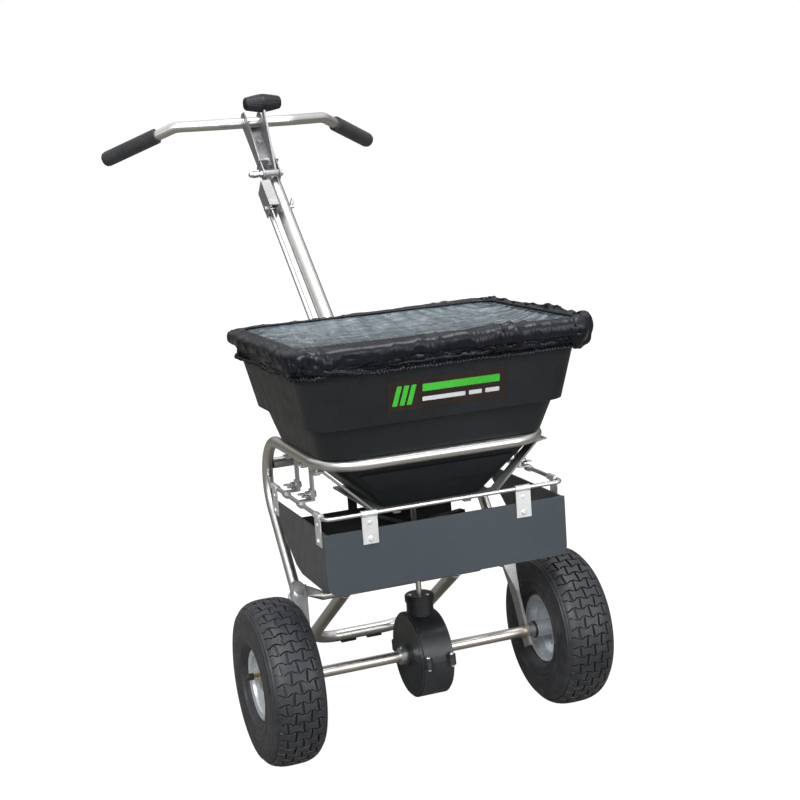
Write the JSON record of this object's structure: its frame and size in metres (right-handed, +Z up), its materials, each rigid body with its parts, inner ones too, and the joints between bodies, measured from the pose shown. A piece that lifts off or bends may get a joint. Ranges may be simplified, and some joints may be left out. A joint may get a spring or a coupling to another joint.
{
  "type": "push broadcast spreader",
  "caption": "Walk-behind rotary spreader with a tall hopper, gathered rain cover, three hinged deflector panels, pneumatic wheels, geared impeller and a rate lever.",
  "frame": {"origin": "on the floor in the machine's middle plane, halfway between the front of the tyres and the rear of the grips (0.456 m behind the axle)", "axes": "+X towards the right wheel seen from behind the handle, -Y forwards (the way it is pushed), +Z up; the machine stands parked on its stand, leaning 11.3 degrees"},
  "size_m": [0.6106, 1.1878, 0.9519],
  "materials": {
    "stainless": "bright polished tube",
    "axle_steel": "ground bar, lightly stained",
    "zinc": "zinc plated hardware",
    "strap_zinc": "light zinc plated strap",
    "bracket_steel": "dull grey plate",
    "gear_steel": "machined and greased",
    "brass": "turned brass",
    "rim_silver": "silver paint, satin",
    "tyre": "matt rubber",
    "gearbox_black": "satin black moulding",
    "hopper_plastic": "satin dark grey moulding",
    "label": "printed plate with plain bars",
    "impeller_plastic": "moulded",
    "bushing_nylon": "natural nylon",
    "panel_front": "smooth grey sheet",
    "panel_side": "smooth grey sheet",
    "grip_foam": "foam",
    "knob_black": "ribbed moulding",
    "pad_rubber": "moulded",
    "cover_nylon": "gathered woven nylon",
    "cover_vinyl": "clear flexible vinyl"
  },
  "bodies": {
    "chassis": {"main_hoop": "stainless", "rear_cross_tube": "stainless", "lower_cross_bar": "stainless", "stand_tube": "stainless", "stand_pads": "pad_rubber", "axle_brackets": "zinc", "axle_bushings": "brass", "leg_bolts": "zinc", "handle_tube": "stainless", "handle_bolts": "zinc", "handlebar": "stainless", "grips": "grip_foam", "gauge_bracket": "bracket_steel", "rod_guide": "bracket_steel", "guide_pin": "axle_steel", "hairpin_clip": "zinc", "lever_pivot_bolt": "zinc", "hopper": "hopper_plastic", "label_plate": "label", "throat_plate": "bracket_steel", "throat_bushing": "bushing_nylon", "funnel_struts": "bracket_steel", "rear_baffle": "impeller_plastic", "deflector_rail": "stainless", "rail_hangers": "zinc", "rail_clamps": "zinc", "hanger_bolts": "zinc", "wing_nuts": "zinc", "gearbox_upper": "gearbox_black", "gearbox_lower": "gearbox_black", "gearbox_screws": "zinc"},
    "drive_axle": {"axle": "axle_steel", "set_collars": "zinc", "crown_gear": "gear_steel", "wheel_spacers": "brass", "left_rim": "rim_silver", "left_tyre": "tyre", "left_valve": "brass", "drive_pin": "zinc"},
    "free_wheel": {"right_rim": "rim_silver", "right_tyre": "tyre", "right_valve": "brass"},
    "impeller_group": {"impeller_shaft": "axle_steel", "pinion": "gear_steel", "impeller": "impeller_plastic", "impeller_pin": "zinc", "agitator": "zinc"},
    "gate": {"gate_plate": "bracket_steel"},
    "rod": {"control_rod": "stainless"},
    "lever": {"control_lever": "bracket_steel", "lever_knob": "knob_black"},
    "front_flap": {"front_panel": "panel_front", "front_hinges": "strap_zinc"},
    "left_flap": {"left_panel": "panel_side", "left_hinges": "strap_zinc"},
    "right_flap": {"right_panel": "panel_side", "right_hinges": "strap_zinc"},
    "cover": {"cover_skirt": "cover_nylon", "cover_window": "cover_vinyl"}
  },
  "joints": [
    {"name": "axle_spin", "type": "hinge", "parent": "chassis", "child": "drive_axle", "pos_m": [0, -0.45644, 0.1375], "axis": [1, 0, 0], "continuous": true},
    {"name": "free_wheel_spin", "type": "hinge", "parent": "drive_axle", "child": "free_wheel", "pos_m": [0.2583, -0.45644, 0.1375], "axis": [1, 0, 0], "continuous": true},
    {"name": "impeller_spin", "type": "hinge", "parent": "chassis", "child": "impeller_group", "pos_m": [0, -0.44762, 0.18163], "axis": [0, 0.1959, 0.9806], "continuous": true},
    {"name": "rate_lever", "type": "hinge", "parent": "chassis", "child": "lever", "pos_m": [0, 0.33114, 0.80657], "axis": [1, 0, 0], "range_deg": [0, 36]},
    {"name": "rod_slide", "type": "slide", "parent": "chassis", "child": "rod", "axis": [0, 0.8545, 0.5195], "range_m": [0, 0.0209]},
    {"name": "gate_slide", "type": "slide", "parent": "chassis", "child": "gate", "axis": [0, 0.9806, -0.1959], "range_m": [0, 0.0154]},
    {"name": "front_flap_hinge", "type": "hinge", "parent": "chassis", "child": "front_flap", "pos_m": [0, -0.54818, 0.46023], "axis": [-1, 0, 0], "range_deg": [0, 100]},
    {"name": "left_flap_hinge", "type": "hinge", "parent": "chassis", "child": "left_flap", "pos_m": [-0.2035, -0.39795, 0.43021], "axis": [0, 0.9806, -0.1959], "range_deg": [0, 100]},
    {"name": "right_flap_hinge", "type": "hinge", "parent": "chassis", "child": "right_flap", "pos_m": [0.2035, -0.39795, 0.43021], "axis": [0, -0.9806, 0.1959], "range_deg": [0, 100]},
    {"name": "cover_lift", "type": "slide", "parent": "chassis", "child": "cover", "axis": [0, 0.1959, 0.9806], "range_m": [0, 0.15]}
  ],
  "couplings": [
    {"joint": "impeller_spin", "follows": "axle_spin", "ratio": 3},
    {"joint": "rod_slide", "follows": "rate_lever", "m_per_rad": 0.0331},
    {"joint": "gate_slide", "follows": "rate_lever", "m_per_rad": 0.02436}
  ]
}
